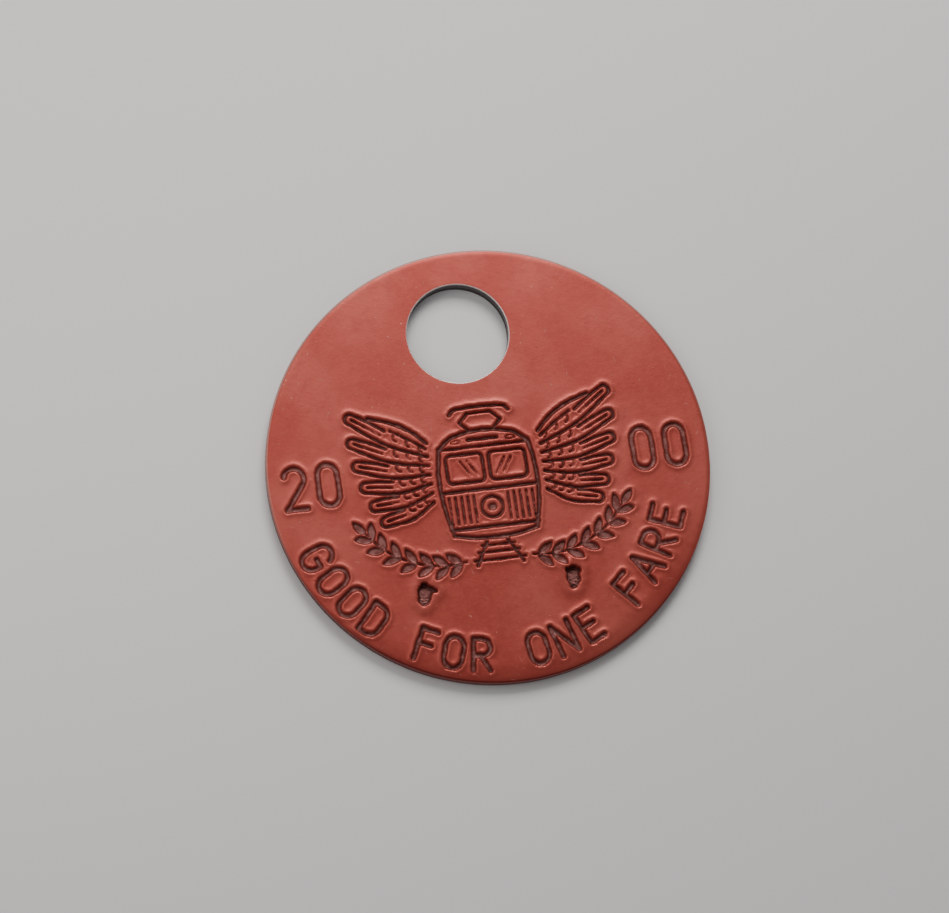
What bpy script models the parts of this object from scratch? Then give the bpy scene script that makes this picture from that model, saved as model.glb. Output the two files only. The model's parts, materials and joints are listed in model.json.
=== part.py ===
"""Transit token: one struck and pierced aluminium disc, lying on its back with its stamped face up.

Run with: blender --background --python part.py

The frame: the origin is the centre of the flat back, +Z points out of the stamped face, and +Y runs
from the disc's centre through the ring hole's. The drawing is in millimetres, which MM makes metres.
"""

import math

import bmesh
import bpy
from mathutils import Matrix, Vector

MM = 0.001

# The blank
DISC_DIAMETER = 26.0
THICKNESS = 1.0
DIE_ROLL = (0.30, 0.12)  # how far the stamped face's edge rolls over, inwards and downwards
BACK_EDGE = (0.12, 0.12)  # the smaller rounding of the back's edge
DISC_SIDES = 96

# The ring hole
HOLE_DIAMETER = 6.0
HOLE_CENTRE = 8.0  # from the disc's centre, along +Y
HOLE_EDGE = 0.06  # the rounding that the punch leaves at both mouths
HOLE_SIDES = 48

# The stamp, whose dies sat a little turned and aside from the ring hole
STAMP_TURN = -5.0  # degrees about +Z
STAMP_SHIFT = Vector((-0.2, 0.0))
STAMP_DEPTH = 0.16
BOLD_LINE, MAIN_LINE, FINE_LINE, HATCH_LINE = 0.32, 0.26, 0.22, 0.18
EMBLEM_CENTRE = Vector((0.0, -1.15))

# The two deep punch marks under the emblem
PITS = (Vector((-4.55, -7.25)), Vector((4.05, -7.25)))
PIT_SIZE = (0.48, 0.60)  # half width and half height
PIT_DEPTH = 0.30

# The legend round the rim and the digits beside the emblem
LEGEND = "GOOD FOR ONE FARE"
LEGEND_CENTRE = Vector((-0.25, -0.25))
LEGEND_FOOT_RADIUS = 12.0
LEGEND_PITCH = 8.5  # degrees from one letter to the next
LEGEND_LINE = 0.38
LETTER_HEIGHT = 1.85
DIGIT_PAIRS = (("20", -10.25), ("00", 10.25))
DIGIT_LINE = 0.42
DIGIT_HEIGHT = 2.45
DIGIT_PITCH = 1.95
DIGIT_MIDDLE = -0.2

OVERSHOOT = 0.3  # how far a cutter stands out of the face that it cuts
WELD = 1e-7  # metres


# ---- lines in the plane ----


def arc(centre, radii, start, end, pieces):
    """Points on an ellipse's arc, from start to end in degrees."""
    angles = [math.radians(start + (end - start) * i / pieces) for i in range(pieces + 1)]
    return [Vector((centre[0] + radii[0] * math.cos(a), centre[1] + radii[1] * math.sin(a))) for a in angles]


def smooth(points, pieces):
    """A Catmull-Rom curve through the points."""
    p = [Vector(q) for q in points]
    p = [2 * p[0] - p[1], *p, 2 * p[-1] - p[-2]]
    made = []
    for a, b, c, d in zip(p, p[1:], p[2:], p[3:]):
        for k in range(pieces):
            t = k / pieces
            square = (2 * a - 5 * b + 4 * c - d) * t**2
            cubic = (3 * b - a - 3 * c + d) * t**3
            made.append((2 * b + (c - a) * t + square + cubic) / 2)
    return [*made, p[-2]]


def line(*points):
    return [Vector(p) for p in points]


def mirrored(points):
    return [Vector((-p.x, p.y)) for p in reversed(points)]


def direction(degrees):
    return Vector((math.cos(math.radians(degrees)), math.sin(math.radians(degrees))))


def left_of(vector):
    return Vector((-vector.y, vector.x))


def offset(points, distance, closed):
    """The line moved sideways, to its left for a positive distance."""
    made = []
    for i, p in enumerate(points):
        before = p - points[i - 1] if closed or i > 0 else points[1] - p
        after = points[(i + 1) % len(points)] - p if closed or i < len(points) - 1 else before
        side = left_of(before.normalized())
        bisector = (side + left_of(after.normalized())).normalized()
        made.append(p + bisector * distance / max(0.5, bisector.dot(side)))
    return made


class Stroke:
    """A line of even width, with round ends or closed on itself."""

    def __init__(self, points, width, closed=False):
        self.points, self.width, self.closed = points, width, closed

    def moved(self, turn=0.0, shift=(0.0, 0.0)):
        """A copy that is turned about the origin, in degrees, and then shifted."""
        rotation = Matrix.Rotation(math.radians(turn), 2)
        return Stroke([rotation @ p + Vector(shift) for p in self.points], self.width, self.closed)

    def mirrored(self):
        return Stroke(mirrored(self.points), self.width, self.closed)

    def outlines(self):
        """One outline with round ends, or an outer and an inner one for a closed line."""
        half = self.width / 2
        left, right = offset(self.points, half, self.closed), offset(self.points, -half, self.closed)
        if self.closed:
            return [left, right]
        caps = []
        for tip, before in ((self.points[-1], self.points[-2]), (self.points[0], self.points[1])):
            heading = math.degrees(math.atan2(tip.y - before.y, tip.x - before.x))
            caps.append(arc(tip, (half, half), heading + 90, heading - 90, 3)[1:-1])
        return [[*left, *caps[0], *reversed(right), *caps[1]]]


# ---- letters and digits, one unit high, as closed or open lines and a width ----


def glyph(letter):
    """The lines of a letter as (points, closed), and its width."""
    if letter in "O0":
        r = 0.29 if letter == "O" else 0.235
        ends = arc((r, 1 - 1.1 * r), (r, 1.1 * r), 0, 180, 5) + arc((r, 1.1 * r), (r, 1.1 * r), 180, 360, 5)
        return [(ends, True)], 2 * r
    if letter == "G":
        bowl = arc((0.29, 0.69), (0.29, 0.31), 20, 180, 5) + arc((0.29, 0.31), (0.29, 0.31), 180, 360, 5)
        return [(bowl, False), (line((0.58, 0.31), (0.58, 0.47), (0.34, 0.47)), False)], 0.58
    if letter == "D":
        bow = arc((0.25, 0.69), (0.31, 0.31), 60, 0, 2) + arc((0.25, 0.31), (0.31, 0.31), 0, -60, 2)
        return [(line((0, 0), (0, 1), (0.25, 1)) + bow + line((0.25, 0)), True)], 0.56
    if letter == "R":
        bow = line((0, 1)) + arc((0.26, 0.74), (0.26, 0.26), 90, -90, 6) + line((0, 0.48))
        return [(line((0, 0), (0, 1)), False), (bow, False), (line((0.22, 0.48), (0.54, 0)), False)], 0.54
    if letter == "2":
        hook = arc((0.24, 0.74), (0.24, 0.26), 165, -35, 7) + line((0, 0))
        return [(hook, False), (line((0, 0), (0.48, 0)), False)], 0.48
    bars, width = {
        "E": ([((0, 0), (0, 1)), ((0, 1), (0.5, 1)), ((0, 0.53), (0.42, 0.53)), ((0, 0), (0.5, 0))], 0.50),
        "F": ([((0, 0), (0, 1)), ((0, 1), (0.5, 1)), ((0, 0.53), (0.4, 0.53))], 0.50),
        "N": ([((0, 0), (0, 1)), ((0, 1), (0.56, 0)), ((0.56, 0), (0.56, 1))], 0.56),
        "A": ([((0, 0), (0.3, 1)), ((0.3, 1), (0.6, 0)), ((0.11, 0.34), (0.49, 0.34))], 0.60),
        " ": ([], 0.0),
    }[letter]
    return [(line(*bar), False) for bar in bars], width


def letter_strokes(letter, height, line_width):
    """A letter whose foot is centred on the origin."""
    lines, width = glyph(letter)
    foot = Vector((width / 2, 0))
    return [Stroke([(p - foot) * height for p in points], line_width, closed) for points, closed in lines]


def legend():
    """The words along the lower rim, their feet outwards."""
    made = []
    for i, letter in enumerate(LEGEND):
        turn = (i - (len(LEGEND) - 1) / 2) * LEGEND_PITCH
        for stroke in letter_strokes(letter, LETTER_HEIGHT, LEGEND_LINE):
            lowered = stroke.moved(shift=(0, -LEGEND_FOOT_RADIUS))
            made.append(lowered.moved(turn=turn, shift=LEGEND_CENTRE))
    return made


def digits():
    """A pair of digits on each side of the emblem."""
    made = []
    for pair, middle in DIGIT_PAIRS:
        for i, digit in enumerate(pair):
            foot = (middle + (i - 0.5) * DIGIT_PITCH, DIGIT_MIDDLE - DIGIT_HEIGHT / 2)
            made += [stroke.moved(shift=foot) for stroke in letter_strokes(digit, DIGIT_HEIGHT, DIGIT_LINE)]
    return made


# ---- the emblem: a winged tram seen from the front, on a track between two leafy sprays ----


def tram():
    """The car's front: body, roof, panes, headlamp, belt lines, grilles and pantograph."""
    side = smooth([(2.42, -2.95), (2.78, -1.2), (2.86, 0.6), (2.64, 2.25)], 2)
    roof = smooth([(-2.64, 2.25), (-1.75, 2.92), (0, 3.2), (1.75, 2.92), (2.64, 2.25)], 2)
    skirt = smooth([(-2.42, -2.95), (0, -3.26), (2.42, -2.95)], 2)
    made = [Stroke(points, BOLD_LINE) for points in (side, mirrored(side), roof, skirt)]
    corners = ((2.04, 1.52, 0), (0.48, 1.52, 90), (0.48, 0.42, 180), (2.04, 0.42, 270))
    pane = [p for x, y, start in corners for p in arc((x, y), (0.3, 0.3), start, start + 90, 2)]
    lamp = arc((0, -1.46), (0.62, 0.62), 0, 330, 11)
    made += [Stroke(points, MAIN_LINE, closed=True) for points in (pane, mirrored(pane), lamp)]
    made.append(Stroke(line((-0.06, -1.46), (0.06, -1.46)), 0.44))
    for y, reach in ((2.22, 2.6), (2.66, 0.85), (-0.36, 2.84), (-2.62, 2.56)):
        made.append(Stroke(line((-reach, y), (reach, y)), MAIN_LINE))
    for k in range(5):
        slat = Stroke(line((1.0 + 0.36 * k, -0.72), (1.0 + 0.36 * k, -2.30)), HATCH_LINE)
        made += [slat, slat.mirrored()]
    frame = line((-0.7, 3.2), (-1.2, 3.72), (-0.7, 4.25), (0.7, 4.25), (1.2, 3.72), (0.7, 3.2))
    shoe = smooth([(-1.75, 4.25), (-1.35, 4.55), (0, 4.62), (1.35, 4.55), (1.75, 4.25)], 2)
    return [*made, Stroke(frame, MAIN_LINE), Stroke(shoe, BOLD_LINE)]


def track():
    made = [Stroke(line((s * 0.62, -3.5), (s * 1.35, -4.85)), FINE_LINE) for s in (-1, 1)]
    for y, reach in ((-3.72, 0.95), (-4.12, 1.2), (-4.58, 1.5)):
        made.append(Stroke(line((-reach, y), (reach, y)), FINE_LINE))
    return made


def wing():
    """The right wing: fanned feathers, each an edge that turns round its tip and a quill, under an arm."""
    count, tip_radius = 6, 0.30
    made = []
    for i in range(count):
        t = i / (count - 1)
        heading, length = 30 - 52 * t, 5.0 - 2.0 * t
        along, across = direction(heading), left_of(direction(heading))
        root = Vector((3.35, 1.95 - 2.75 * t))
        tip = root + along * length
        centre = tip + across * tip_radius
        lower = smooth([root, root + along * length / 2 - across * 0.30, tip], 2)
        cap = arc(centre, (tip_radius, tip_radius), heading - 90, heading + 90, 4)
        upper = tip + across * (2 * tip_radius - 0.16) - along * length * 0.42
        made.append(Stroke([*lower, *cap[1:], upper], MAIN_LINE))
        quill = line(root + along * length * 0.55 + across * 0.10, centre - along * 0.12)
        made.append(Stroke(quill, HATCH_LINE))
    made.append(Stroke(smooth([(3.3, 2.75), (4.1, 3.55), (5.2, 4.2), (6.5, 4.62)], 2), BOLD_LINE))
    made.append(Stroke(smooth([(3.3, 2.35), (4.2, 2.95), (5.1, 3.5)], 2), FINE_LINE))
    return made


def spray_stem():
    """The stem of the right spray."""
    return smooth([(1.95, -4.55), (3.4, -4.62), (5.0, -4.22), (6.5, -3.35), (7.55, -2.2)], 3)


def leaf(foot, along):
    """A pointed leaf's outline, widest at its middle."""
    side = [(0.10, 0.05), (0.30, 0.18), (0.55, 0.24), (0.80, 0.16)]
    outline = [*side, (0.97, 0.0), *[(x, -y) for x, y in reversed(side)]]
    return [foot + along * x + left_of(along) * y for x, y in outline]


def spray_leaves():
    """Pairs of leaves along the right spray, and one at its end."""
    stem, pairs = spray_stem(), 7
    made = []
    for i in range(pairs):
        place = (i + 0.25) / pairs * (len(stem) - 1)
        k = int(place)
        step = stem[k + 1] - stem[k]
        for side in (-1, 1):
            lean = Matrix.Rotation(side * math.radians(38), 2)
            made.append(leaf(stem[k] + step * (place - k), lean @ step.normalized()))
    made.append(leaf(stem[-1], (stem[-1] - stem[-2]).normalized()))
    return made


def emblem_outlines():
    """The outlines of every mark of the emblem, in the stamp's own frame."""
    strokes = tram() + track()
    for stroke in [*wing(), Stroke(spray_stem(), FINE_LINE)]:
        strokes += [stroke, stroke.mirrored()]
    marks = [stroke.moved(shift=EMBLEM_CENTRE).outlines() for stroke in strokes]
    for outline in spray_leaves():
        marks += [[[p + EMBLEM_CENTRE for p in half]] for half in (outline, mirrored(outline))]
    return marks


# ---- solids ----


def new_collection(name):
    collection = bpy.data.collections.new(name)
    bpy.context.scene.collection.children.link(collection)
    return collection


def solid_from(source, name, collection):
    """The evaluated object as a new welded, closed mesh object; the source is removed."""
    bpy.context.view_layer.update()
    mesh = bpy.data.meshes.new_from_object(source.evaluated_get(bpy.context.evaluated_depsgraph_get()))
    bm = bmesh.new()
    bm.from_mesh(mesh)
    bmesh.ops.remove_doubles(bm, verts=bm.verts, dist=WELD)
    bmesh.ops.holes_fill(bm, edges=bm.edges, sides=0)
    bmesh.ops.recalc_face_normals(bm, faces=bm.faces)
    bm.to_mesh(mesh)
    bm.free()
    made = bpy.data.objects.new(name, mesh)
    made.matrix_world = source.matrix_world
    bpy.data.objects.remove(source)
    collection.objects.link(made)
    return made


def turned(name, profile, sides, collection):
    """A solid turned about Z from its outer side, given as (radius, height) from top to bottom."""
    mesh = bpy.data.meshes.new(name)
    edges = [(i, i + 1) for i in range(len(profile) - 1)]
    mesh.from_pydata([(r * MM, 0, z * MM) for r, z in profile], edges, [])
    source = bpy.data.objects.new(name + "_profile", mesh)
    collection.objects.link(source)
    screw = source.modifiers.new("turn", "SCREW")
    screw.steps = sides
    screw.render_steps = sides
    screw.use_merge_vertices = True
    screw.merge_threshold = WELD
    return solid_from(source, name, collection)


def punch(name, outlines, depth, collection):
    """A cutter with flat ends that reaches depth below the stamped face."""
    curve = bpy.data.curves.new(name, "CURVE")
    curve.dimensions = "2D"
    curve.fill_mode = "BOTH"
    curve.extrude = (depth + OVERSHOOT) / 2 * MM
    for outline in outlines:
        spline = curve.splines.new("POLY")
        spline.points.add(len(outline) - 1)
        for point, p in zip(spline.points, outline):
            point.co = (p.x * MM, p.y * MM, 0, 1)
        spline.use_cyclic_u = True
    source = bpy.data.objects.new(name + "_outline", curve)
    source.location.z = (THICKNESS + (OVERSHOOT - depth) / 2) * MM
    collection.objects.link(source)
    return hidden(solid_from(source, name, collection))


def hidden(cutter):
    cutter.hide_render = True
    cutter.display_type = "WIRE"
    return cutter


def blank(collection):
    """The disc before it is struck: a die-rolled upper edge and a slightly rounded lower one."""
    radius = DISC_DIAMETER / 2
    (roll_in, roll_down), (back_in, back_up) = DIE_ROLL, BACK_EDGE
    roll = arc((radius - roll_in, THICKNESS - roll_down), DIE_ROLL, 90, 0, 5)
    back = arc((radius - back_in, back_up), BACK_EDGE, 0, -90, 3)
    return turned("token_disc", roll + back, DISC_SIDES, collection)


def ring_hole_punch(collection):
    """The ring hole's cutter, flared at both faces."""
    bore = HOLE_DIAMETER / 2
    mouth = bore + HOLE_EDGE
    upper = [(mouth, THICKNESS + OVERSHOOT), (mouth, THICKNESS), (bore, THICKNESS - HOLE_EDGE)]
    lower = [(bore, HOLE_EDGE), (mouth, 0.0), (mouth, -OVERSHOOT)]
    cutter = hidden(turned("ring_hole_punch", upper + lower, HOLE_SIDES, collection))
    cutter.location.y = HOLE_CENTRE * MM


def stamp_punches(collection):
    """One cutter for each mark of the stamp, turned and shifted as the dies were."""
    marks = emblem_outlines()
    marks += [stroke.outlines() for stroke in legend() + digits()]
    depths = [STAMP_DEPTH] * len(marks)
    marks += [[arc(pit, PIT_SIZE, 18, 306, 4)] for pit in PITS]
    depths += [PIT_DEPTH] * len(PITS)
    turn = Matrix.Rotation(math.radians(STAMP_TURN), 2)
    for i, (outlines, depth) in enumerate(zip(marks, depths)):
        placed = [[turn @ p + STAMP_SHIFT for p in outline] for outline in outlines]
        punch(f"punch_{i:03d}", placed, depth, collection)


def dyed_aluminium():
    """Aluminium whose satin anodised skin is dyed salmon red."""
    material = bpy.data.materials.new("dyed_aluminium")
    material.use_nodes = True
    shader = material.node_tree.nodes["Principled BSDF"]
    shader.inputs["Base Color"].default_value = (0.42, 0.09, 0.065, 1.0)
    shader.inputs["Roughness"].default_value = 0.5
    shader.inputs["Metallic"].default_value = 0.2
    return material


def main():
    for old in list(bpy.data.objects):
        bpy.data.objects.remove(old)
    parts, cutters = new_collection("transit_token"), new_collection("cutters")
    disc = blank(parts)
    disc.data.materials.append(dyed_aluminium())
    disc.data.shade_smooth()
    disc.data.set_sharp_from_angle(angle=math.radians(30))
    ring_hole_punch(cutters)
    stamp_punches(cutters)
    strike = disc.modifiers.new("strike", "BOOLEAN")
    strike.operand_type = "COLLECTION"
    strike.collection = cutters
    strike.operation = "DIFFERENCE"
    strike.solver = "EXACT"


main()
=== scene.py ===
import json
import math
from types import SimpleNamespace

import bpy
import numpy as np
from mathutils import Matrix, Vector, noise


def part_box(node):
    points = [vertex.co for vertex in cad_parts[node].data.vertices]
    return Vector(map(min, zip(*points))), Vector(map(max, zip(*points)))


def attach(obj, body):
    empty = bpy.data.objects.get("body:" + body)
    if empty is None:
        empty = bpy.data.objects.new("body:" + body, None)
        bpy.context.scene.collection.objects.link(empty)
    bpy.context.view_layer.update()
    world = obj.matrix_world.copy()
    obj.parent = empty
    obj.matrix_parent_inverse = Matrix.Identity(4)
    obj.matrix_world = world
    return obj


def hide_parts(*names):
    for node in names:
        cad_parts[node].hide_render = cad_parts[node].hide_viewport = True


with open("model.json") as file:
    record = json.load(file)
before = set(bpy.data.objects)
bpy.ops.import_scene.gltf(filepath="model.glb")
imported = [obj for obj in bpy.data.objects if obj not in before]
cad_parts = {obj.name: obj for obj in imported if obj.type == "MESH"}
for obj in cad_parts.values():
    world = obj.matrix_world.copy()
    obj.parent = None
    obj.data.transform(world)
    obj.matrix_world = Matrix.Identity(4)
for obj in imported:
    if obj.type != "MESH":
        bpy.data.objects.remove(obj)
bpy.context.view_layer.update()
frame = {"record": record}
discLow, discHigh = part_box("token_disc")
mounts = {mount["name"]: mount for mount in frame["record"]["mounts"]}
mm = 0.001
slack = 0.001 * mm                        # for comparing heights and radii

blank = {
    "radius": (discHigh.x - discLow.x) / 2,
    "thickness": discHigh.z - discLow.z,
    "sides": 288,
    "roll": (0.30 * mm, 0.12 * mm),       # width and drop of the rolled upper edge
    "droop": 0.16 * mm,                   # how far the rim sags under the legend's letters
    "droopWidth": 1.10 * mm,
    "droopStart": 4.0 * mm,               # how far below the middle it starts to sag
    "droopGrowth": 8.0 * mm,              # and in what further distance it sags fully
    "backEdge": (0.12 * mm, 0.12 * mm),
    "roundSteps": 7,
    "ring": 0.12 * mm,                    # flat ring kept beside each rounding
    "gridStep": 0.80 * mm,                # coarse grid over the struck face
    "mergeWithin": 0.004 * mm,
}

ringHole = {
    "centre": Vector(mounts["ring_hole"]["pos_m"]),
    "radius": 3.0 * mm,
    "mouth": (0.05 * mm, 0.05 * mm),      # rounding left by the punch
    "sides": 144,
    "overshoot": 0.5 * mm,                # how far the punch stands past each face
}

stamp = {                                 # drawn in millimetres, in the dies' own frame
    "turn": -5.0,                         # degrees about +Z
    "shift": (-0.2, 0.0),
    "emblemCentre": (0.0, -1.15),
    "legend": "GOOD FOR ONE FARE",
    "legendCentre": (-0.25, -0.25),
    "legendFoot": 12.0,
    "legendPitch": 8.5,                   # degrees
    "letterHeight": 1.85,
    "letterLine": 0.37,                   # width of the letters' strokes
    "digitPairs": (("20", -10.25), ("00", 10.25)),             # the digits, and the middle of each pair
    "digitHeight": 2.45,
    "digitLine": 0.39,
    "digitPitch": 1.95,
    "digitMiddle": -0.2,
}

relief = {                                # millimetres
    "depth": 0.170,
    "wall": 0.110,                        # width of a groove's sloping side
    "spread": 0.03,                       # the emblem's lines, widened as the metal gives
    "lipHeight": 0.026,                   # metal swollen up beside a groove
    "lipPlace": 0.07,
    "lipWidth": 0.11,
    "swell": 0.008,                       # a wider, lower swelling round it
    "swellWidth": 0.50,
    "wander": 0.034,                      # unevenness of the groove edges
    "wanderReach": 0.8,
    "blow": 0.35,                         # share by which the dies' depth varies over the face
    "thinHalf": 0.155,                    # half the width of the widest groove whose floor gets painted shade
    "thinFade": 0.04,
}

faceSizes = {                             # millimetres, by distance from a groove's edge
    "fine": 0.055,                        # on the groove's sloping side
    "fineReach": (0.14, 0.06),            # inwards and outwards of the edge
    "middle": 0.11,
    "middleReach": 0.36,
    "plain": 0.2,                         # further out, where the faces grow with the distance
    "growth": 0.4,
    "growthFrom": 0.25,
    "halfFace": 0.7,                      # a face's reach from its centre, as a share of its size
    "excess": 1.15,                       # a face this many times too large is divided
    "levels": 4,
    "snap": 0.45,                         # how near an edge a point is drawn onto it, in fine faces
    "noFloor": 1.3,                       # a groove has none if its half width is under this many walls
    "relaxReach": 0.35,
}

punchPits = {                             # two slanting punch marks, deep at the top, torn at the foot
    "spines": (
        (((-4.60, -6.80), (-4.62, -7.14), (-4.74, -7.56), (-4.78, -7.84)), (0.56, 0.96, 0.84, 0.44)),
        (((-4.50, -6.98), (-4.02, -7.14)), (0.66, 0.34)),
        (((3.78, -6.86), (4.36, -6.95)), (0.44, 0.46)),
        (((4.06, -7.00), (4.03, -7.38), (3.98, -7.78)), (0.86, 0.94, 0.60)),
    ),
    "top": -6.60,
    "foot": -8.05,
    "deep": 0.42,
    "shallow": 0.05,
    "wall": 0.15,
    "slope": 1.3,                         # over 1, so that the floor is hollow from top to foot
    "ragged": (0.05, 0.03),               # coarse and fine unevenness of the outline
    "raggedReach": 0.9,
    "lipHeight": 0.055,
    "lipPlace": 0.12,
    "lipWidth": 0.32,
    "folds": 0.048,                       # height of the torn metal's folds
    "foldTurn": 22.0,                     # radians of folds from top to foot
    "foldsFrom": (0.35, 0.30),            # share of the way down, and the fade, for the next one too
    "tornFrom": (0.46, 0.30),
}


# lines in the plane

def arcPoints(centre, radii, start, end, pieces):
    angles = np.radians(np.linspace(start, end, pieces + 1))
    return np.stack([centre[0] + radii[0] * np.cos(angles), centre[1] + radii[1] * np.sin(angles)], 1)


def smoothLine(points, pieces=6):         # Catmull-Rom through the points
    p = np.array(points, float)
    p = np.vstack([2 * p[0] - p[1], p, 2 * p[-1] - p[-2]])
    t = np.linspace(0, 1, pieces, endpoint=False)[:, None]
    made = []
    for a, b, c, d in zip(p, p[1:], p[2:], p[3:]):
        square, cube = 2 * a - 5 * b + 4 * c - d, 3 * b - a - 3 * c + d
        made.append((2 * b + (c - a) * t + square * t**2 + cube * t**3) / 2)
    return np.vstack([*made, p[-2:-1]])


def line(*points):
    return np.array(points, float)


def chain(*parts):
    return np.vstack(parts)


def direction(degrees):
    return np.array([math.cos(math.radians(degrees)), math.sin(math.radians(degrees))])


def leftOf(vector):
    return np.array([-vector[1], vector[0]])


class Marks:                              # lines of varying width that a punch presses
    def __init__(self):
        self.lines = []

    def add(self, points, width, mirror=False):
        widths = np.broadcast_to(np.array(width, float), len(points))
        self.lines.append((np.array(points, float), widths))
        if mirror:
            self.lines.append((points * (-1, 1), widths))

    def take(self, other, turn=0.0, shift=(0.0, 0.0), spread=0.0):
        c, s = direction(turn)
        for points, widths in other.lines:
            self.lines.append((points @ np.array([[c, s], [-s, c]]) + shift, widths + spread))

    def segments(self):
        starts = np.vstack([p[:-1] for p, w in self.lines])
        ends = np.vstack([p[1:] for p, w in self.lines])
        radii = [np.stack([w[:-1], w[1:]], 1) / 2 for p, w in self.lines]
        return starts, ends, np.vstack(radii)


def edgeDistance(places, marks, tile=1.5, reach=1.2):
    # distance in the plane from the nearest groove's edge, below 0 inside the groove,
    # and the way to the place from that groove's middle line, worked out tile by tile
    starts, ends, radii = marks.segments()
    along = ends - starts
    lengths = np.maximum((along**2).sum(1), 1e-12)
    low, high = np.minimum(starts, ends) - reach, np.maximum(starts, ends) + reach
    distance, fromLine = np.full(len(places), reach), np.full((len(places), 2), reach)
    tiles = np.floor(places / tile).astype(int)
    keys = tiles[:, 0] * 1000 + tiles[:, 1]                    # one number for each tile
    order = np.argsort(keys, kind="stable")
    for rows in np.split(order, np.nonzero(np.diff(keys[order]))[0] + 1):
        corner = places[rows].min(0), places[rows].max(0)
        near = np.nonzero((high > corner[0]).all(1) & (low < corner[1]).all(1))[0]
        if len(near) == 0:
            continue
        part = places[rows][:, None, :] - starts[near]
        t = np.clip((part * along[near]).sum(2) / lengths[near], 0, 1)
        away = part - along[near] * t[..., None]
        thickness = radii[near, 0] + (radii[near, 1] - radii[near, 0]) * t
        gap = np.sqrt((away**2).sum(2)) - thickness
        nearest = gap.argmin(1)
        distance[rows] = gap[np.arange(len(rows)), nearest]
        fromLine[rows] = away[np.arange(len(rows)), nearest]
    return distance, fromLine


# letters and digits, one unit high

def glyphLines(letter):
    if letter in "O0":
        r = 0.29 if letter == "O" else 0.235              # half the width, with slightly taller rounds
        ring = chain(arcPoints((r, 1 - 1.1 * r), (r, 1.1 * r), 0, 180, 12),
                     arcPoints((r, 1.1 * r), (r, 1.1 * r), 180, 360, 12), line((2 * r, 1 - 1.1 * r)))
        return [ring], 2 * r
    if letter == "G":
        bowl = chain(arcPoints((0.29, 0.69), (0.29, 0.31), 20, 180, 10),
                     arcPoints((0.29, 0.31), (0.29, 0.31), 180, 360, 12))
        return [chain(bowl, line((0.58, 0.47), (0.34, 0.47)))], 0.58
    if letter == "D":
        bow = chain(arcPoints((0.25, 0.69), (0.31, 0.31), 90, 0, 7),
                    arcPoints((0.25, 0.31), (0.31, 0.31), 0, -90, 7))
        return [chain(line((0, 0), (0, 1)), bow, line((0, 0)))], 0.56
    if letter == "R":
        bow = chain(line((0, 1)), arcPoints((0.26, 0.74), (0.26, 0.26), 90, -90, 12), line((0, 0.48)))
        return [line((0, 0), (0, 1)), bow, line((0.22, 0.48), (0.54, 0))], 0.54
    if letter == "2":
        return [chain(arcPoints((0.24, 0.74), (0.24, 0.26), 165, -35, 14), line((0, 0), (0.48, 0)))], 0.48
    return {
        "E": ([line((0.5, 1), (0, 1), (0, 0), (0.5, 0)), line((0, 0.53), (0.42, 0.53))], 0.50),
        "F": ([line((0.5, 1), (0, 1), (0, 0)), line((0, 0.53), (0.4, 0.53))], 0.50),
        "N": ([line((0, 0), (0, 1), (0.56, 0), (0.56, 1))], 0.56),
        "A": ([line((0, 0), (0.3, 1), (0.6, 0)), line((0.11, 0.34), (0.49, 0.34))], 0.60),
        " ": ([], 0.0),
    }[letter]


def letterMarks(letter, height, width):   # foot centred on the origin
    made = Marks()
    lines, letterWidth = glyphLines(letter)
    for points in lines:
        made.add((points - (letterWidth / 2, 0)) * height, width)
    return made


def legendMarks():
    made = Marks()
    words = stamp["legend"]
    for i, letter in enumerate(words):
        drawn = letterMarks(letter, stamp["letterHeight"], stamp["letterLine"])
        lowered = Marks()
        lowered.take(drawn, shift=(0, -stamp["legendFoot"]))
        made.take(lowered, (i - (len(words) - 1) / 2) * stamp["legendPitch"], stamp["legendCentre"])
    return made


def digitMarks():
    made = Marks()
    for pair, middle in stamp["digitPairs"]:
        for i, digit in enumerate(pair):
            drawn = letterMarks(digit, stamp["digitHeight"], stamp["digitLine"])
            foot = stamp["digitMiddle"] - stamp["digitHeight"] / 2
            made.take(drawn, shift=(middle + (i - 0.5) * stamp["digitPitch"], foot))
    return made


# the emblem: a winged tram on its track, between two leafy sprays

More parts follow.
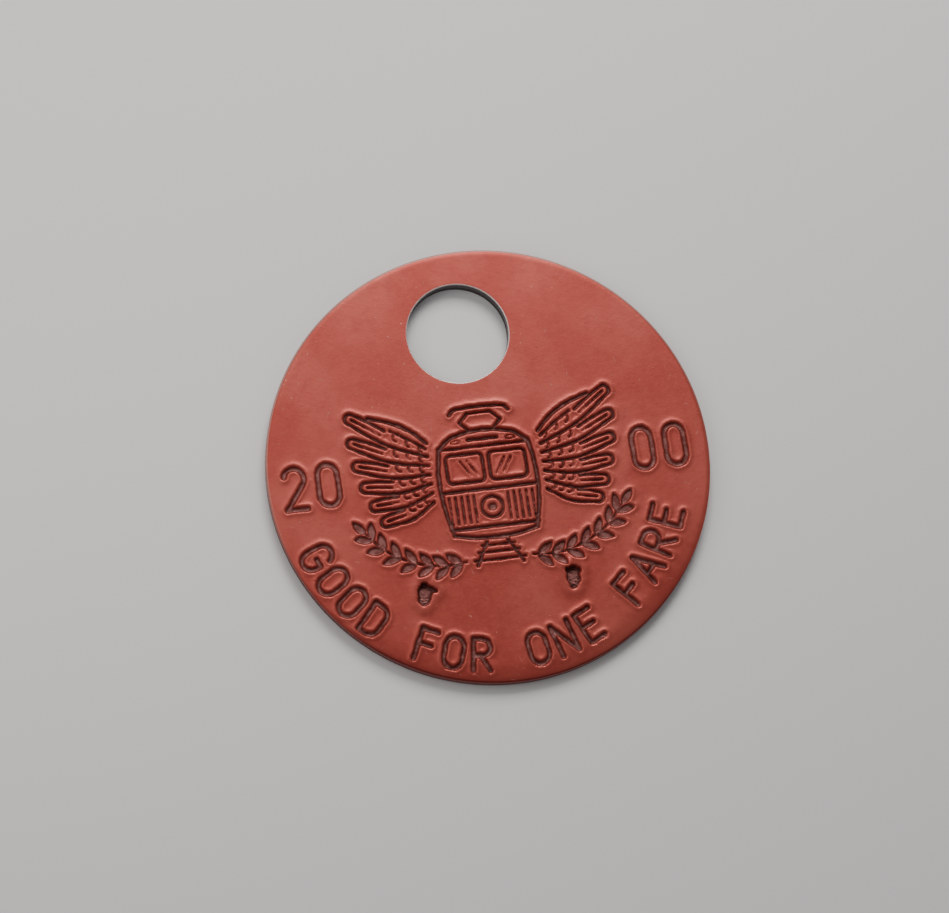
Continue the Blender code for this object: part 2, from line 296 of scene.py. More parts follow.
def tramMarks():
    made = Marks()                        # its sides, roof and floor first
    made.add(smoothLine([(2.42, -2.95), (2.78, -1.2), (2.86, 0.6), (2.64, 2.25)]), 0.30, mirror=True)
    made.add(smoothLine([(-2.64, 2.25), (-1.75, 2.92), (0, 3.2), (1.75, 2.92), (2.64, 2.25)]), 0.30)
    made.add(smoothLine([(-2.42, -2.95), (-1.2, -3.2), (0, -3.26), (1.2, -3.2), (2.42, -2.95)]), 0.30)
    corners = ((2.04, 1.52, 0), (0.48, 1.52, 90), (0.48, 0.42, 180), (2.04, 0.42, 270))
    pane = chain(*[arcPoints((x, y), (0.3, 0.3), start, start + 90, 5) for x, y, start in corners])
    made.add(chain(pane, pane[:1]), 0.24, mirror=True)
    for x in (0.55, 0.95):                # glints on the panes
        made.add(line((x, 0.50), (x + 0.55, 1.40)), (0.10, 0.14), mirror=True)
    made.add(arcPoints((1.62, 2.57), (0.26, 0.10), 0, 360, 16), 0.11, mirror=True)     # small roof lamps
    made.add(arcPoints((0, -1.46), (0.62, 0.62), 0, 360, 28), 0.24)     # headlamp, and its middle
    made.add(line((-0.03, -1.46), (0.03, -1.46)), 0.48)
    bands = ((2.22, 2.6, 0.22), (2.66, 0.85, 0.26), (-0.36, 2.84, 0.26), (-2.62, 2.56, 0.26))
    for y, reach, width in bands:
        made.add(line((-reach, y), (reach, y)), width)
    for k in range(5):                    # grilles beside the headlamp
        made.add(line((1.0 + 0.36 * k, -0.72), (1.0 + 0.36 * k, -2.30)), 0.18, mirror=True)
    # current collector on the roof, and its bar
    made.add(line((-0.7, 3.2), (-1.2, 3.72), (-0.7, 4.25), (0.7, 4.25), (1.2, 3.72), (0.7, 3.2)), 0.22)
    made.add(smoothLine([(-1.75, 4.25), (-1.35, 4.55), (0, 4.62), (1.35, 4.55), (1.75, 4.25)]), 0.26)
    return made


def trackMarks():
    made = Marks()
    made.add(line((0.62, -3.5), (1.35, -4.85)), 0.24, mirror=True)      # rails, and sleepers under them
    for y, reach in ((-3.72, 0.95), (-4.12, 1.2), (-4.58, 1.5)):
        made.add(line((-reach, y), (reach, y)), 0.20)
    return made


def wingMarks(feathers=6, tipRadius=0.30):
    made = Marks()
    for i in range(feathers):
        t = i / (feathers - 1)
        heading, length = 30 - 52 * t, 5.0 - 2.0 * t
        along, across = direction(heading), leftOf(direction(heading))
        root = np.array([3.35, 1.95 - 2.75 * t])
        tip = root + along * length
        centre = tip + across * tipRadius
        lower = smoothLine([root, root + along * length / 2 - across * 0.30, tip])
        cap = arcPoints(centre, (tipRadius, tipRadius), heading - 90, heading + 90, 9)
        end = tip + across * (2 * tipRadius - 0.16) - along * length * 0.42
        upper = smoothLine([cap[-1], (cap[-1] + end) / 2 + across * 0.04, end])
        made.add(chain(lower, cap[1:], upper[1:]), 0.24, mirror=True)   # a feather, open at its root
        quill = line(root + along * length * 0.60 + across * 0.10, centre - along * 0.12)
        made.add(quill, (0.12, 0.22), mirror=True)
        for share, size in ((0.09, 0.18), (0.25, 0.21), (0.41, 0.24)):     # rows of small coverts
            scale = root + along * length * share + across * (0.28 + 0.20 * share)
            made.add(arcPoints(scale, (size, size), heading - 100, heading + 100, 8), 0.15, mirror=True)
    # the wing's leading edge, and a line beside it
    made.add(smoothLine([(3.3, 2.75), (4.1, 3.55), (5.2, 4.2), (6.5, 4.62)]), 0.28, mirror=True)
    made.add(smoothLine([(3.4, 2.42), (4.2, 3.02), (5.3, 3.72)]), 0.20, mirror=True)
    return made


def sprayMarks(pairs=7, leafLength=0.95, leafWidth=0.46):
    made = Marks()
    stem = smoothLine([(1.95, -4.55), (3.4, -4.62), (5.0, -4.22), (6.5, -3.35), (7.55, -2.2)], 8)
    made.add(stem, 0.18, mirror=True)
    shares = np.linspace(0, 1, 8)
    widths = 0.08 + leafWidth * np.sin(np.pi * (shares * 0.9 + 0.05)) ** 0.9

    def addLeaf(foot, heading, bow):
        along, across = direction(heading), leftOf(direction(heading))
        spine = foot + np.outer(0.14 + shares * leafLength, along)
        made.add(spine + np.outer(bow * np.sin(np.pi * shares), across), widths, mirror=True)

    for i in range(pairs):
        place = (i + 0.25) / pairs * (len(stem) - 1)
        k = int(place)
        step = stem[k + 1] - stem[k]
        heading = math.degrees(math.atan2(step[1], step[0]))
        for side in (-1, 1):
            addLeaf(stem[k] + step * (place - k), heading + side * 38, side * -0.05)
    addLeaf(stem[-1] - (0.1, 0.1), math.degrees(math.atan2(*(stem[-1] - stem[-2])[::-1])), 0.0)
    return made


def stampMarks():
    emblem = Marks()
    for part in (tramMarks(), trackMarks(), wingMarks(), sprayMarks()):
        emblem.take(part)
    drawn = Marks()
    drawn.take(emblem, shift=stamp["emblemCentre"], spread=relief["spread"])
    drawn.take(legendMarks())
    drawn.take(digitMarks())
    placed = Marks()
    placed.take(drawn, stamp["turn"], stamp["shift"])
    return placed


def pitMarks():
    drawn = Marks()
    for spine, widths in punchPits["spines"]:
        drawn.add(spine, widths)
    placed = Marks()
    placed.take(drawn, stamp["turn"], stamp["shift"])
    return placed


# shaping

def freshSelection():
    bpy.ops.object.select_all(action="DESELECT")


def activate(piece):
    freshSelection()
    piece.select_set(True)
    bpy.context.view_layer.objects.active = piece


def pick(piece, chosen, kind="polygons"): # leaves the piece in edit mode with these selected
    bpy.context.tool_settings.mesh_select_mode = (kind == "vertices", False, kind == "polygons")
    for each in ("vertices", "edges", "polygons"):
        parts = getattr(piece.data, each)
        parts.foreach_set("select", chosen if each == kind else np.zeros(len(parts), bool))
    bpy.ops.object.mode_set(mode="EDIT")


def faceData(piece, kind, width):
    values = np.empty(len(piece.data.polygons) * width)
    piece.data.polygons.foreach_get(kind, values)
    return values.reshape(-1, width) if width > 1 else values


def planDistance(places, centre=(0, 0)):  # from an upright axis
    return np.hypot(places[:, 0] - centre[0], places[:, 1] - centre[1])


def facingFaces(piece, height, up):       # flat faces at this height
    centres, normals = faceData(piece, "center", 3), faceData(piece, "normal", 3)
    return (abs(centres[:, 2] - height) < slack) & (normals[:, 2] * up > 0.999)


def drawOut(piece, height, up, radii, rises):
    # the end cap is drawn out step by step to these radii and rises, about the piece's own middle
    pick(piece, facingFaces(piece, height, up))
    middle = (piece.location.x, piece.location.y, 0)
    for k in range(1, len(radii)):
        step = (0, 0, up * (rises[k] - rises[k - 1]))
        bpy.ops.mesh.extrude_region_move(TRANSFORM_OT_translate={"value": step})
        scale = radii[k] / radii[k - 1]
        bpy.ops.transform.resize(value=(scale, scale, 1), center_override=middle)
    bpy.ops.object.mode_set(mode="OBJECT")


def quarterRound(radius, inward, rise):   # a quarter ellipse from the wall over to the face
    angles = np.linspace(0, math.pi / 2, blank["roundSteps"] + 1)
    return radius - inward * (1 - np.cos(angles)), rise * np.sin(angles)


def cutBlank():
    freshSelection()
    rollDrop, edgeRise = blank["roll"][1], blank["backEdge"][1]
    straight = blank["thickness"] - rollDrop - edgeRise
    bpy.ops.mesh.primitive_cylinder_add(
        vertices=blank["sides"], radius=blank["radius"], depth=straight,
        location=(discLow.x + blank["radius"], discLow.y + blank["radius"], edgeRise + straight / 2))
    token = bpy.context.object
    token.name = "struck_token"
    bpy.ops.object.transform_apply(location=True, rotation=False, scale=False)
    drawOut(token, blank["thickness"] - rollDrop, 1, *quarterRound(blank["radius"], *blank["roll"]))
    drawOut(token, edgeRise, -1, *quarterRound(blank["radius"], *blank["backEdge"]))
    return token


def ringFlats(token):                     # narrow flat rings that keep the roundings' shading off the flats
    for up, height in ((1, blank["thickness"]), (-1, 0.0)):
        pick(token, facingFaces(token, height, up))
        bpy.ops.mesh.inset(thickness=blank["ring"])
        bpy.ops.object.mode_set(mode="OBJECT")


def mergeClose(token):                    # points that the punch and the rings left almost on each other
    pick(token, np.ones(len(token.data.polygons), bool))
    bpy.ops.mesh.remove_doubles(threshold=blank["mergeWithin"])
    bpy.ops.mesh.dissolve_degenerate(threshold=blank["mergeWithin"])
    bpy.ops.object.mode_set(mode="OBJECT")


def insideFlat(token):                    # the struck flat, less its rings
    centres = faceData(token, "center", 3)
    ring = blank["ring"] * 0.9            # less a margin, because faces are chosen by their centres
    inside = planDistance(centres) < blank["radius"] - blank["roll"][0] - ring
    inside &= planDistance(centres, ringHole["centre"]) > ringHole["radius"] + ringHole["mouth"][0] + ring
    return facingFaces(token, blank["thickness"], 1) & inside


def gridFace(token):                      # a square grid over the flat of the struck face
    reach = blank["radius"] - blank["roll"][0]
    count = int(reach / blank["gridStep"])
    for axis in range(2):
        for k in range(-count, count + 1):
            place = Vector((0, 0, 0))
            place[axis] = k * blank["gridStep"]
            normal = Vector((0, 0, 0))
            normal[axis] = 1
            pick(token, insideFlat(token))
            bpy.ops.mesh.bisect(plane_co=place, plane_no=normal)
            bpy.ops.object.mode_set(mode="OBJECT")


def punchRingHole(token):                 # the punch widens along a quarter round at each face of the disc
    freshSelection()
    roundIn, roundUp = ringHole["mouth"]
    depth = blank["thickness"] - 2 * roundUp
    bpy.ops.mesh.primitive_cylinder_add(
        vertices=ringHole["sides"], radius=ringHole["radius"], depth=depth,
        location=(ringHole["centre"].x, ringHole["centre"].y, blank["thickness"] / 2))
    punch = bpy.context.object
    radii, rises = quarterRound(ringHole["radius"], -roundIn, roundUp)
    radii, rises = [*radii, radii[-1]], [*rises, rises[-1] + ringHole["overshoot"]]
    drawOut(punch, depth / 2, 1, radii, rises)
    drawOut(punch, -depth / 2, -1, radii, rises)
    activate(token)
    cut = token.modifiers.new("ring_hole", "BOOLEAN")
    cut.operation = "DIFFERENCE"
    cut.solver = "EXACT"
    cut.object = punch
    bpy.ops.object.modifier_apply(modifier=cut.name)
    bpy.data.objects.remove(punch)


def smoothStep(value):
    value = np.clip(value, 0, 1)
    return value * value * (3 - 2 * value)


def ramp(value, start, fade):             # from 0 at the start to 1 where the fade ends
    return smoothStep((value - start) / fade)


def wander(places, scale, seed):          # smooth noise, the same on each run
    return np.array([noise.noise(Vector((x * scale, y * scale, seed))) for x, y in places])


def blankHeight(places):                  # height of the struck side before the dies' lines are pressed in
    inward, drop = blank["roll"]
    radius = planDistance(places) * mm
    share = np.clip((radius - (blank["radius"] - inward)) / inward, 0, 1)
    sag = np.clip((radius - blank["radius"]) / blank["droopWidth"] + 1, 0, 1) ** 2
    sag *= ramp(-places[:, 1] * mm, blank["droopStart"], blank["droopGrowth"])
    return blank["thickness"] - drop * (1 - np.sqrt(1 - share**2)) - blank["droop"] * sag


def struckFaces(token):                   # faces of the struck side and of its rolled edge
    centres, normals = faceData(token, "center", 3), faceData(token, "normal", 3)
    upper = (normals[:, 2] > 0.5) & (centres[:, 2] > blank["thickness"] * 0.5)
    return upper & (planDistance(centres) < blank["radius"] - 0.05 * mm)       # less the steepest of them


def refine(token, marks):                 # smaller faces where the grooves will be
    sides = np.array([len(face.vertices) for face in token.data.polygons])
    pick(token, struckFaces(token) & (sides > 4))
    bpy.ops.mesh.quads_convert_to_tris()
    bpy.ops.object.mode_set(mode="OBJECT")
    for level in range(faceSizes["levels"]):
        centres = faceData(token, "center", 3)[:, :2] / mm
        size = np.sqrt(faceData(token, "area", 1)) / mm
        chosen = struckFaces(token)
        distance = np.zeros(len(centres))
        distance[chosen] = edgeDistance(centres[chosen], marks)[0]
        reach = size * faceSizes["halfFace"]
        nearest, furthest = distance - reach, distance + reach
        target = np.maximum(faceSizes["growth"] * (distance - faceSizes["growthFrom"]), faceSizes["plain"])
        target[nearest < faceSizes["middleReach"]] = faceSizes["middle"]
        inwards, outwards = faceSizes["fineReach"]
        target[(nearest < outwards) & (furthest > -inwards)] = faceSizes["fine"]
        pick(token, chosen & (size > target * faceSizes["excess"]))
        bpy.ops.mesh.subdivide(number_cuts=1, ngon=False)
        bpy.ops.object.mode_set(mode="OBJECT")
        print(f"refined to level {level + 1}: {len(token.data.polygons)} faces")


def topPlaces(token):                     # all points, and which of them are on the struck side
    co = np.empty(len(token.data.vertices) * 3)
    token.data.vertices.foreach_get("co", co)
    co = co.reshape(-1, 3)
    top = co[:, 2] > blank["thickness"] - blank["roll"][1] - slack
    top &= planDistance(co, ringHole["centre"]) > ringHole["radius"] + ringHole["mouth"][0] - slack
    return co, np.nonzero(top)[0]


def unevenDistance(places, marks):        # distance from the grooves' edges, which wander a little
    distance, fromLine = edgeDistance(places, marks)
    near = abs(distance) < relief["wanderReach"]
    uneven = wander(places[near], 2.3, 1.0) + 0.5 * wander(places[near], 6.0, 2.0)     # coarse and fine
    distance[near] += relief["wander"] * uneven
    return distance, fromLine


def settle(token, marks):
    # points close to a groove's edges, or to the middle of one without a floor, are drawn onto them,
    # and the points between are relaxed
    co, index = topPlaces(token)
    before = co.copy()
    places = co[index, :2] / mm
    distance, fromLine = unevenDistance(places, marks)
    length = planDistance(fromLine)
    outward = fromLine / np.maximum(length, 1e-9)[:, None]
    snap = faceSizes["fine"] * faceSizes["snap"]
    drawn = (length - distance < relief["wall"] * faceSizes["noFloor"]) & (length < snap)
    places[drawn] -= fromLine[drawn]
    for contour in (0.0, -relief["wall"]):
        gap = contour - distance
        close = (abs(gap) < snap) & ~drawn
        places[close] += outward[close] * gap[close, None]
        drawn |= close
    co[index, :2] = places * mm
    token.data.vertices.foreach_set("co", co.ravel())
    free = ~drawn & (abs(distance) < faceSizes["relaxReach"])
    free &= planDistance(co[index]) < blank["radius"] - blank["roll"][0] - blank["ring"] * 2
    fromHole = planDistance(co[index], ringHole["centre"])
    free &= fromHole > ringHole["radius"] + ringHole["mouth"][0] + blank["ring"] * 2
    chosen = np.zeros(len(co), bool)
    chosen[index[free]] = True
    pick(token, chosen, "vertices")
    bpy.ops.mesh.vertices_smooth(factor=0.5, repeat=3)
    bpy.ops.object.mode_set(mode="OBJECT")
    unfold(token, before)


def unfold(token, before, attempts=6):    # points of faces that have turned over go back to where they were
    mesh = token.data
    co = np.empty(len(mesh.vertices) * 3)
    for attempt in range(attempts):
        mesh.update()
        normals, centres = faceData(token, "normal", 3), faceData(token, "center", 3)
        folded = np.nonzero((centres[:, 2] > blank["thickness"] * 0.8) & (normals[:, 2] < -0.01))[0]
        if len(folded) == 0:
            break
        back = sorted({point for face in folded for point in mesh.polygons[int(face)].vertices})
        mesh.vertices.foreach_get("co", co)
        co.reshape(-1, 3)[back] = before[back]
        mesh.vertices.foreach_set("co", co)
    print(f"points settled, {len(folded)} faces still folded")


def pitShape(places, pits):               # how far inside a pit a place is, and its depth, lip and tear
    distance = edgeDistance(places, pits)[0]
    near = abs(distance) < punchPits["raggedReach"]
    coarse, fine = punchPits["ragged"]
    distance[near] += coarse * wander(places[near], 3.1, 5.0) + fine * wander(places[near], 8.0, 6.0)
    inside = smoothStep(-distance / punchPits["wall"])
    lip = np.exp(-((distance - punchPits["lipPlace"]) / punchPits["lipWidth"]) ** 2) * (1 - inside)
    c, s = direction(stamp["turn"])
    upright = (places - stamp["shift"]) @ np.array([-s, c])    # height on the stamp as its drawing stands
    share = np.clip((punchPits["top"] - upright) / (punchPits["top"] - punchPits["foot"]), 0, 1)
    rough = np.zeros(len(places))
    pitted = inside > 0
    rough[pitted] = wander(places[pitted], 5.0, 9.0)
    folds = np.sin(punchPits["foldTurn"] * share + 3.0 * rough) * ramp(share, *punchPits["foldsFrom"])
    depth = punchPits["deep"] * (1 - share) ** punchPits["slope"] + punchPits["shallow"]
    depth += punchPits["folds"] * (folds + rough)
    return inside, depth, lip, inside * ramp(share, *punchPits["tornFrom"])


def strike(token, marks, pits):
    mesh = token.data
    co, index = topPlaces(token)
    places = co[index, :2] / mm
    distance, fromLine = unevenDistance(places, marks)
    pressed = smoothStep(-distance / relief["wall"])
    halfWidth = planDistance(fromLine) - distance
    thin = pressed * (1 - ramp(halfWidth, relief["thinHalf"], relief["thinFade"]))
    lip = np.exp(-((distance - relief["lipPlace"]) / relief["lipWidth"]) ** 2) * (1 - pressed)
    swell = np.exp(-(np.maximum(distance, 0) / relief["swellWidth"]) ** 2) * (1 - pressed)
    inPit, pitDepth, pitLip, torn = pitShape(places, pits)
    blow = 1 + relief["blow"] * wander(places, 0.16, 3.0)     # the dies struck harder in some places
    height = blankHeight(places) / mm
    height += blow * (relief["lipHeight"] * lip + relief["swell"] * swell - relief["depth"] * pressed)
    height += punchPits["lipHeight"] * pitLip - pitDepth * inPit
    co[index, 2] = height * mm
    mesh.vertices.foreach_set("co", co.ravel())
    grimy = np.maximum(thin, np.maximum(inPit - torn, 0))     # painted shade in thin grooves and in the pits' deep ends
    pressed, lip = np.maximum(pressed, inPit), np.maximum(lip, pitLip)
    for name, values in {"pressed": pressed, "lip": lip, "torn": torn, "grimy": grimy}.items():
        whole = np.zeros(len(mesh.vertices))
        whole[index] = values
        mesh.attributes.new(name, "FLOAT", "POINT").data.foreach_set("value", whole)
    mesh.update()


# materials

class Field:                              # a socket whose arithmetic adds Math nodes
    def __init__(self, finish, socket):
        self.finish, self.socket = finish, socket

    def math(self, operation, *values):
        return self.finish.node("ShaderNodeMath", {"operation": operation}, dict(enumerate(values)))

    def __add__(self, other):
        return self.math("ADD", self, other)

    def __radd__(self, other):
        return self.math("ADD", other, self)

    def __sub__(self, other):
        return self.math("SUBTRACT", self, other)

    def __rsub__(self, other):
        return self.math("SUBTRACT", other, self)

    def __mul__(self, other):
        return self.math("MULTIPLY", self, other)

    def __rmul__(self, other):
        return self.math("MULTIPLY", other, self)

    def atMost(self, limit):
        return self.math("MINIMUM", self, limit)

    def between(self, low, high):         # 0 at low, 1 at high, smooth between
        return self.finish.node("ShaderNodeMapRange", {"interpolation_type": "SMOOTHSTEP"},
                                {"Value": self, "From Min": low, "From Max": high})


class Finish:                             # a material being built
    def __init__(self, name):
        self.material = bpy.data.materials.new(name)
        self.material.use_nodes = True
        self.tree = self.material.node_tree
        self.tree.nodes.clear()

    def node(self, kind, settings=None, sockets=None, output=0):
        made = self.tree.nodes.new(kind)
        for name, value in (settings or {}).items():
            setattr(made, name, value)
        for name, value in (sockets or {}).items():
            if isinstance(value, Field):
                self.tree.links.new(value.socket, made.inputs[name])
            else:
                made.inputs[name].default_value = value
        return Field(self, made.outputs[output]) if made.outputs else made

    def millimetres(self):                # Object coordinates in millimetres
        coords = self.node("ShaderNodeTexCoord", output="Object")
        return self.node("ShaderNodeVectorMath", {"operation": "SCALE"}, {0: coords, "Scale": 1 / mm})

    def attribute(self, name):
        return self.node("ShaderNodeAttribute", {"attribute_name": name}, output="Fac")

    def noise(self, places, scale, detail=2.0, roughness=0.5):
        return self.node("ShaderNodeTexNoise", None, {
            "Vector": places, "Scale": scale, "Detail": detail, "Roughness": roughness}, "Fac")

    def mix(self, share, first, second):
        return self.node("ShaderNodeMix", {"data_type": "RGBA"}, {0: share, 6: first, 7: second}, 2)

    def stretched(self, places, scales, turn=0.0, seed=0.0):
        # places turned about Z, moved to another part of the noise, then stretched
        turned = self.node("ShaderNodeMapping", None, {
            "Vector": places, "Rotation": (0, 0, math.radians(turn)), "Location": (seed, seed, 0)})
        return self.node("ShaderNodeVectorMath", {"operation": "MULTIPLY"}, {0: turned, 1: scales})

    def flatLength(self, places, centre):                    # distance from an upright axis
        away = self.node("ShaderNodeVectorMath", {"operation": "SUBTRACT"}, {0: places, 1: tuple(centre)})
        flat = self.node("ShaderNodeVectorMath", {"operation": "MULTIPLY"}, {0: away, 1: (1, 1, 0)})
        return self.node("ShaderNodeVectorMath", {"operation": "LENGTH"}, {0: flat}, "Value")

    def along(self, axis, places):                           # one coordinate
        return self.node("ShaderNodeSeparateXYZ", None, {0: places}, axis)


dyeFinish = {
    "dye": (0.398, 0.057, 0.0415, 1.0),
    "paleDye": (0.465, 0.086, 0.063, 1.0),
    "deepDye": (0.315, 0.039, 0.030, 1.0),
    # the side's dyes, darkened with painted shade
    "shadedEdgeDye": (0.20, 0.020, 0.015, 1.0),
    "shadedWallDye": (0.075, 0.011, 0.010, 1.0),
    "groove": (0.150, 0.038, 0.032, 1.0),
    "grooveMetal": (0.255, 0.098, 0.086, 1.0),
    # painted shade for the floors of thin grooves and the pits' deep ends
    "shadedGrooveFloor": (0.070, 0.019, 0.016, 1.0),
    "tornMetal": (0.20, 0.066, 0.058, 1.0),
    # painted shade on the hole's sheared wall
    "holeShade": (0.030, 0.012, 0.010, 1.0),
    "metal": (0.70, 0.60, 0.57, 1.0),
    # worn bare metal, and a painted highlight, on the upper rim
    "rubbedMetal": (0.62, 0.34, 0.29, 1.0),
    # sheared metal darkened with painted shade
    "shearedShaded": (0.095, 0.078, 0.078, 1.0),
    "dust": (0.72, 0.42, 0.36, 1.0),
    "roughness": 0.36,
    "metallic": 0.50,
    "specular": 0.35,
    "scratches": ((24.0, 0.0), (-52.0, 31.0), (81.0, 57.0)),   # each direction in degrees, and its seed
    "rim": (12.86, 12.94),                # millimetres from the middle, as the face turns into the side
    "rubbedDepth": (0.17, 0.12),          # millimetres down the rim, rubbed to metal above them
    "rubbedAlong": (-6.0, 9.0),           # and along Y, from not at all to fully, a painted highlight towards the lit top
    "tornHeight": (0.34, 0.46),           # a punched wall is torn below these heights, and smooth above
    "mouthWidth": (0.03, 0.07),           # the line of bare metal round the hole
    "mouthDepth": (0.09, 0.03),
}


def surfacePatterns(made):                # the noises that colour, roughness and bump share
    skin = SimpleNamespace(places=made.millimetres())
    skin.blotches = made.noise(skin.places, 0.22, 3.0)
    skin.mottle = made.noise(skin.places, 1.4, 4.0, 0.6)
    skin.satin = made.noise(skin.places, 4.2, 3.0, 0.6)
    skin.grain = made.noise(skin.places, 13.0, 3.0, 0.65)
    skin.worn = 0.0
    for turn, seed in dyeFinish["scratches"]:              # short fine scratches, a few in each direction
        scratch = made.noise(made.stretched(skin.places, (0.9, 11.0, 1.0), turn, seed), 1.0, 1.0)
        skin.worn = scratch.between(0.765, 0.80) + skin.worn
    skin.rolling = made.noise(made.stretched(skin.places, (0.25, 9.0, 1.0), 24.0), 1.0, 2.0)
    skin.shear = made.noise(made.stretched(skin.places, (9.0, 9.0, 0.9)), 1.0, 2.0, 0.5)
    skin.floorNoise = made.noise(skin.places, 2.6, 3.0, 0.55)
    skin.tornNoise = made.noise(skin.places, 7.0, 3.0, 0.6)
    return skin


def addMasks(made, skin):                 # where each part of the surface is
    for name in ("pressed", "lip", "torn", "grimy"):
        setattr(skin, name, made.attribute(name))
    skin.inGroove = skin.pressed.between(0.40, 0.95)
    z = made.along("Z", skin.places)
    top, hole = blank["thickness"] / mm, ringHole["radius"] / mm
    low, high = dyeFinish["rubbedDepth"]
    skin.side = made.flatLength(skin.places, (0, 0, 0)).between(*dyeFinish["rim"])
    skin.upper = z.between(top - low, top - high)
    # worn metal on the upper rim, faded in along Y towards the light as a painted highlight
    skin.rubbed = skin.side * skin.upper * made.along("Y", skin.places).between(*dyeFinish["rubbedAlong"])
    narrow, wide = dyeFinish["mouthWidth"]
    fromHole = made.flatLength(skin.places, ringHole["centre"] / mm)
    skin.bare = 1.0 - fromHole.between(hole + narrow, hole + wide)
    low, high = dyeFinish["mouthDepth"]
    skin.deep = 1.0 - z.between(top - low, top - high)
    skin.walls = (skin.side + skin.bare).atMost(1.0)
    skin.fracture = 1.0 - (z + 0.24 * (skin.shear - 0.5)).between(*dyeFinish["tornHeight"])
    skin.ragged = skin.fracture * (0.45 + 0.55 * skin.grain)


def faceColour(made, skin):               # blotchy dye with scratches and dust, and a painted highlight on the grooves' lips
    colour = made.mix(skin.blotches.between(0.35, 0.70), dyeFinish["dye"], dyeFinish["paleDye"])
    colour = made.mix(skin.mottle.between(0.42, 0.75) * 0.36, colour, dyeFinish["deepDye"])
    colour = made.mix(skin.satin.between(0.48, 0.72) * 0.24, colour, dyeFinish["paleDye"])
    colour = made.mix(skin.grain.between(0.50, 0.78) * 0.30, colour, dyeFinish["deepDye"])
    specks = made.noise(skin.places, 4.5, 1.0).between(0.785, 0.81)
    colour = made.mix((skin.worn * 0.30 + specks * 0.35).atMost(0.5), colour, dyeFinish["dust"])
    darkSpecks = made.noise(made.stretched(skin.places, (1, 1, 1), 31.0, 12.0), 3.7, 1.0)
    colour = made.mix(darkSpecks.between(0.745, 0.79) * 0.5, colour, dyeFinish["deepDye"])
    # painted highlight: the grooves' lips made paler
    return made.mix(skin.lip.between(0.35, 1.0) * 0.55, colour, dyeFinish["paleDye"])


def sideColour(made, skin, colour):       # dye darkened with painted shade on the side, and worn metal with a painted highlight where the upper rim is rubbed
    smooth = made.mix(0.5 * skin.shear, dyeFinish["shadedEdgeDye"], dyeFinish["shadedWallDye"])
    side = made.mix(skin.ragged, smooth, dyeFinish["shadedWallDye"])
    # painted shade: the side wall darkened
    colour = made.mix(skin.side * (1.0 - skin.upper) * 0.9, colour, side)
    return made.mix(skin.rubbed * (0.7 + 0.4 * skin.satin), colour, dyeFinish["rubbedMetal"])


def grooveColour(made, skin, colour):     # dark floors in the grooves, painted shade in thin grooves and deep ends, and torn metal in the punch marks
    floor = made.mix(skin.floorNoise.between(0.34, 0.66), dyeFinish["groove"], dyeFinish["grooveMetal"])
    # painted shade on the floors of thin grooves and the pits' deep ends
    floor = made.mix(skin.grimy * 0.7, floor, dyeFinish["shadedGrooveFloor"])
    # the groove's colour carried up its walls, more of it as painted shade in thin grooves
    sloping = skin.pressed.between(0.05, 0.6) * (0.30 + 0.40 * skin.grimy)
    colour = made.mix(sloping, colour, dyeFinish["groove"])
    colour = made.mix(skin.inGroove, colour, floor)
    # torn metal, with the painted-shade floor colour between its paler patches
    torn = made.mix(skin.tornNoise.between(0.44, 0.60), dyeFinish["shadedGrooveFloor"], dyeFinish["tornMetal"])
    return made.mix(skin.torn, colour, torn)


def holeColour(made, skin, colour):       # a bright line at the hole's mouth, and sheared metal darkened with painted shade below
    smooth = made.mix(0.4 * skin.shear, dyeFinish["shearedShaded"], dyeFinish["holeShade"])
    wall = made.mix(skin.ragged, smooth, dyeFinish["holeShade"])
    return made.mix(skin.bare, colour, made.mix(skin.deep, dyeFinish["metal"], wall))


def dyedAluminium():
    made = Finish("dyed_aluminium")
    skin = surfacePatterns(made)
    addMasks(made, skin)
    colour = faceColour(made, skin)
    for layer in (sideColour, grooveColour, holeColour):
        colour = layer(made, skin, colour)
    roughness = dyeFinish["roughness"] + 0.12 * (skin.satin - 0.5) + 0.10 * skin.grain
    roughness = roughness - 0.08 * skin.lip - 0.06 * skin.side + 0.08 * skin.inGroove
    roughness = roughness - 0.12 * skin.bare - 0.10 * skin.torn + 0.16 * skin.fracture * skin.walls
    metallic = dyeFinish["metallic"] + 0.15 * skin.inGroove + 0.35 * skin.bare
    height = 0.0035 * skin.grain + 0.0045 * skin.satin + 0.004 * skin.mottle
    height = height - 0.006 * skin.worn + 0.0016 * skin.rolling
    height = height + 0.010 * skin.pressed * skin.floorNoise + 0.020 * skin.torn * skin.tornNoise
    height = height + 0.004 * skin.walls * (skin.shear + 3.0 * skin.ragged)
    bump = made.node("ShaderNodeBump", None, {"Strength": 1.0, "Distance": mm, "Height": height}, "Normal")
    shader = made.node("ShaderNodeBsdfPrincipled", None, {
        "Base Color": colour, "Roughness": roughness, "Metallic": metallic, "Normal": bump,
        "Specular IOR Level": dyeFinish["specular"]}, "BSDF")
    made.node("ShaderNodeOutputMaterial", None, {"Surface": shader})
    return made.material


def makeToken():
    token = cutBlank()
    punchRingHole(token)
    print("blank cut and pierced")
    ringFlats(token)
    gridFace(token)
    mergeClose(token)
    marks, pits = stampMarks(), pitMarks()
    everyMark = Marks()
    everyMark.take(marks)
    everyMark.take(pits)
    refine(token, everyMark)
    settle(token, everyMark)
    strike(token, marks, pits)
    activate(token)
    bpy.ops.object.shade_smooth()
    token.data.materials.append(dyedAluminium())
    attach(token, "root")
    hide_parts("token_disc")
    triangles = sum(len(face.vertices) - 2 for face in token.data.polygons)
    print(f"token struck: {triangles} triangles")


# studio

view = {                                  # millimetres and degrees
    "focal": 127.2,
    "azimuth": -33.8,
    "elevation": 74.0,
    "roll": 21.1,
    "distance": 195.4,
    "aside": (-0.82, 0.47),
}

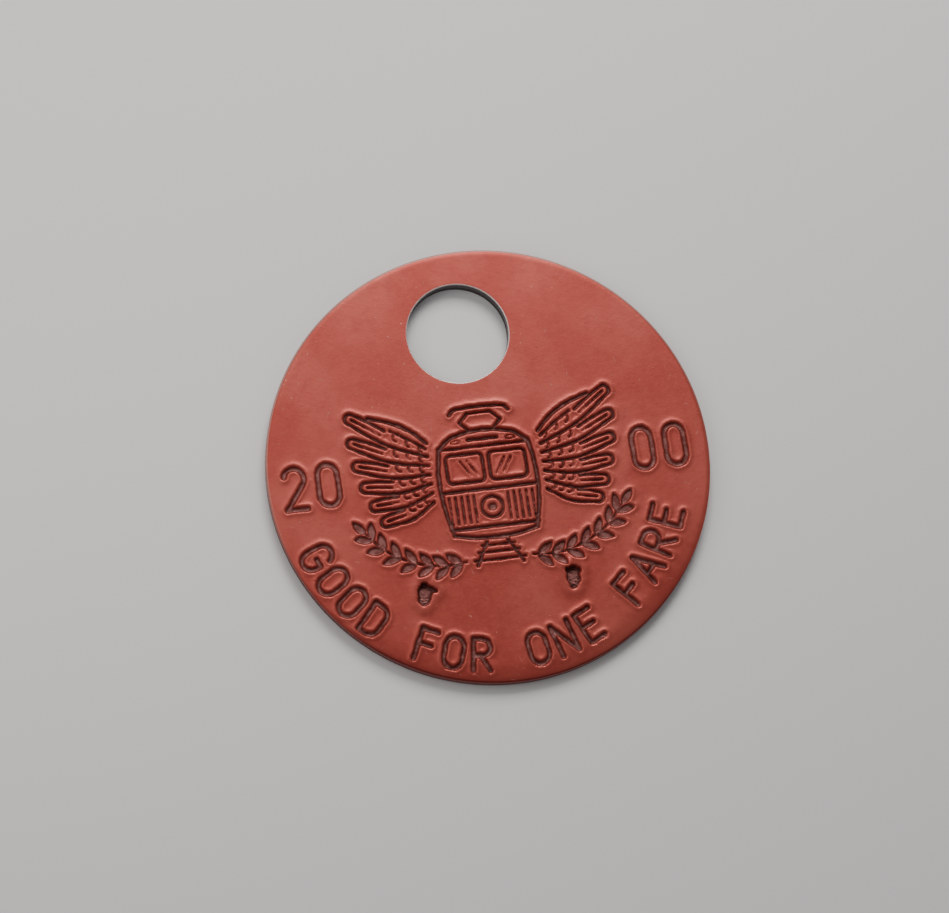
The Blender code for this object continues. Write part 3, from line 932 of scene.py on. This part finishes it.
studio = {
    "floorSize": 3.0,
    "floor": (0.90, 0.865, 0.83, 1.0),
    "floorRoughness": 0.75,
    "world": (0.92, 0.95, 1.0, 1.0),
    "worldStrength": 0.24,
}

lamps = {                                 # metres and degrees, turned from the camera's right to its top
    "key": {"turn": 86.0, "elevation": 48.0, "distance": 0.155, "size": 0.08, "power": 0.160},
    "fill": {"turn": 176.0, "elevation": 52.0, "distance": 0.075, "size": 0.06, "power": 0.013},
}


def cameraAxes():
    azimuth, elevation = math.radians(view["azimuth"]), math.radians(view["elevation"])
    back = Vector((math.sin(azimuth) * math.cos(elevation), -math.cos(azimuth) * math.cos(elevation),
                   math.sin(elevation)))
    level = Vector((0, 0, 1)).cross(back).normalized()
    upright = back.cross(level)
    roll = math.radians(view["roll"])
    right = level * math.cos(roll) + upright * math.sin(roll)
    return right, back.cross(right), back


def turnTo(right, up, back):
    return Matrix((right, up, back)).transposed().to_quaternion()


def aimCamera():
    right, up, back = cameraAxes()
    centre = (discLow + discHigh) / 2
    data = bpy.data.cameras.new("camera")
    data.lens = view["focal"]
    data.clip_start = 0.01
    camera = bpy.data.objects.new("camera", data)
    bpy.context.collection.objects.link(camera)
    aside, rise = view["aside"]
    camera.location = centre + (back * view["distance"] + right * aside + up * rise) * mm
    camera.rotation_mode = "QUATERNION"
    camera.rotation_quaternion = turnTo(right, up, back)
    bpy.context.scene.camera = camera


def addLamp(name):
    lamp = lamps[name]
    right, up, back = cameraAxes()
    right.z = up.z = 0
    turn, rise = math.radians(lamp["turn"]), math.radians(lamp["elevation"])
    side = right.normalized() * math.cos(turn) + up.normalized() * math.sin(turn)
    way = side.normalized() * math.cos(rise) + Vector((0, 0, math.sin(rise)))
    data = bpy.data.lights.new(name, "AREA")
    data.size = lamp["size"]
    data.energy = lamp["power"]
    light = bpy.data.objects.new(name, data)
    light.location = way * lamp["distance"]
    light.rotation_mode = "QUATERNION"
    light.rotation_quaternion = way.to_track_quat("Z", "Y")
    bpy.context.collection.objects.link(light)


def lightStudio():
    world = bpy.data.worlds.new("studio")
    world.use_nodes = True
    background = world.node_tree.nodes["Background"]
    background.inputs["Color"].default_value = studio["world"]
    background.inputs["Strength"].default_value = studio["worldStrength"]
    bpy.context.scene.world = world
    for name in lamps:
        addLamp(name)


def layFloor():
    freshSelection()
    bpy.ops.mesh.primitive_plane_add(size=studio["floorSize"], location=(0, 0, 0))
    floor = bpy.context.object
    floor.name = "floor"
    finish = Finish("floor_paper")
    shader = finish.node("ShaderNodeBsdfPrincipled", None, {
        "Base Color": studio["floor"], "Roughness": studio["floorRoughness"]}, "BSDF")
    finish.node("ShaderNodeOutputMaterial", None, {"Surface": shader})
    floor.data.materials.append(finish.material)


makeToken()
aimCamera()
lightStudio()
layFloor()
print("studio set")
